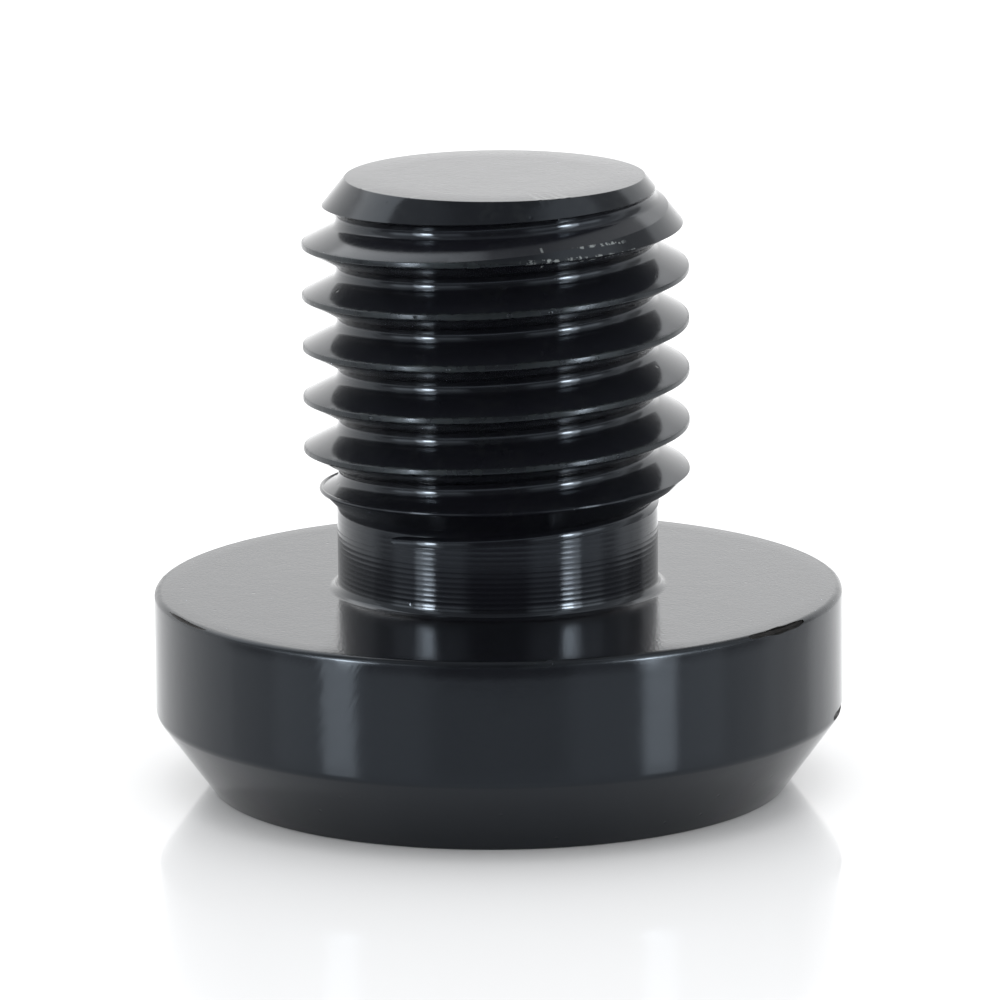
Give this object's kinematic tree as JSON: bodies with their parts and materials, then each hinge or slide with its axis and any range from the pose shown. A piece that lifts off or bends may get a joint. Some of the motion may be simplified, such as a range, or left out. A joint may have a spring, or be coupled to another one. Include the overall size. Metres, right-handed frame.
{
  "type": "blanking plug bolt",
  "caption": "Round-headed blanking plug bolt with an undercut neck, a right-hand thread with a chamfered end and a hexagon socket in the head's outer face.",
  "frame": {"origin": "centre of the head's flat outer face, on the thread's axis", "axes": "+Z along the thread's axis from the head to the thread's end; two flats of the hexagon socket face +Y and -Y"},
  "size_m": [0.017, 0.017, 0.0152],
  "materials": {
    "black_anodised": "glossy black anodised layer over fine turning marks"
  },
  "bodies": {
    "root": {"plug_bolt": "black_anodised"}
  },
  "joints": []
}
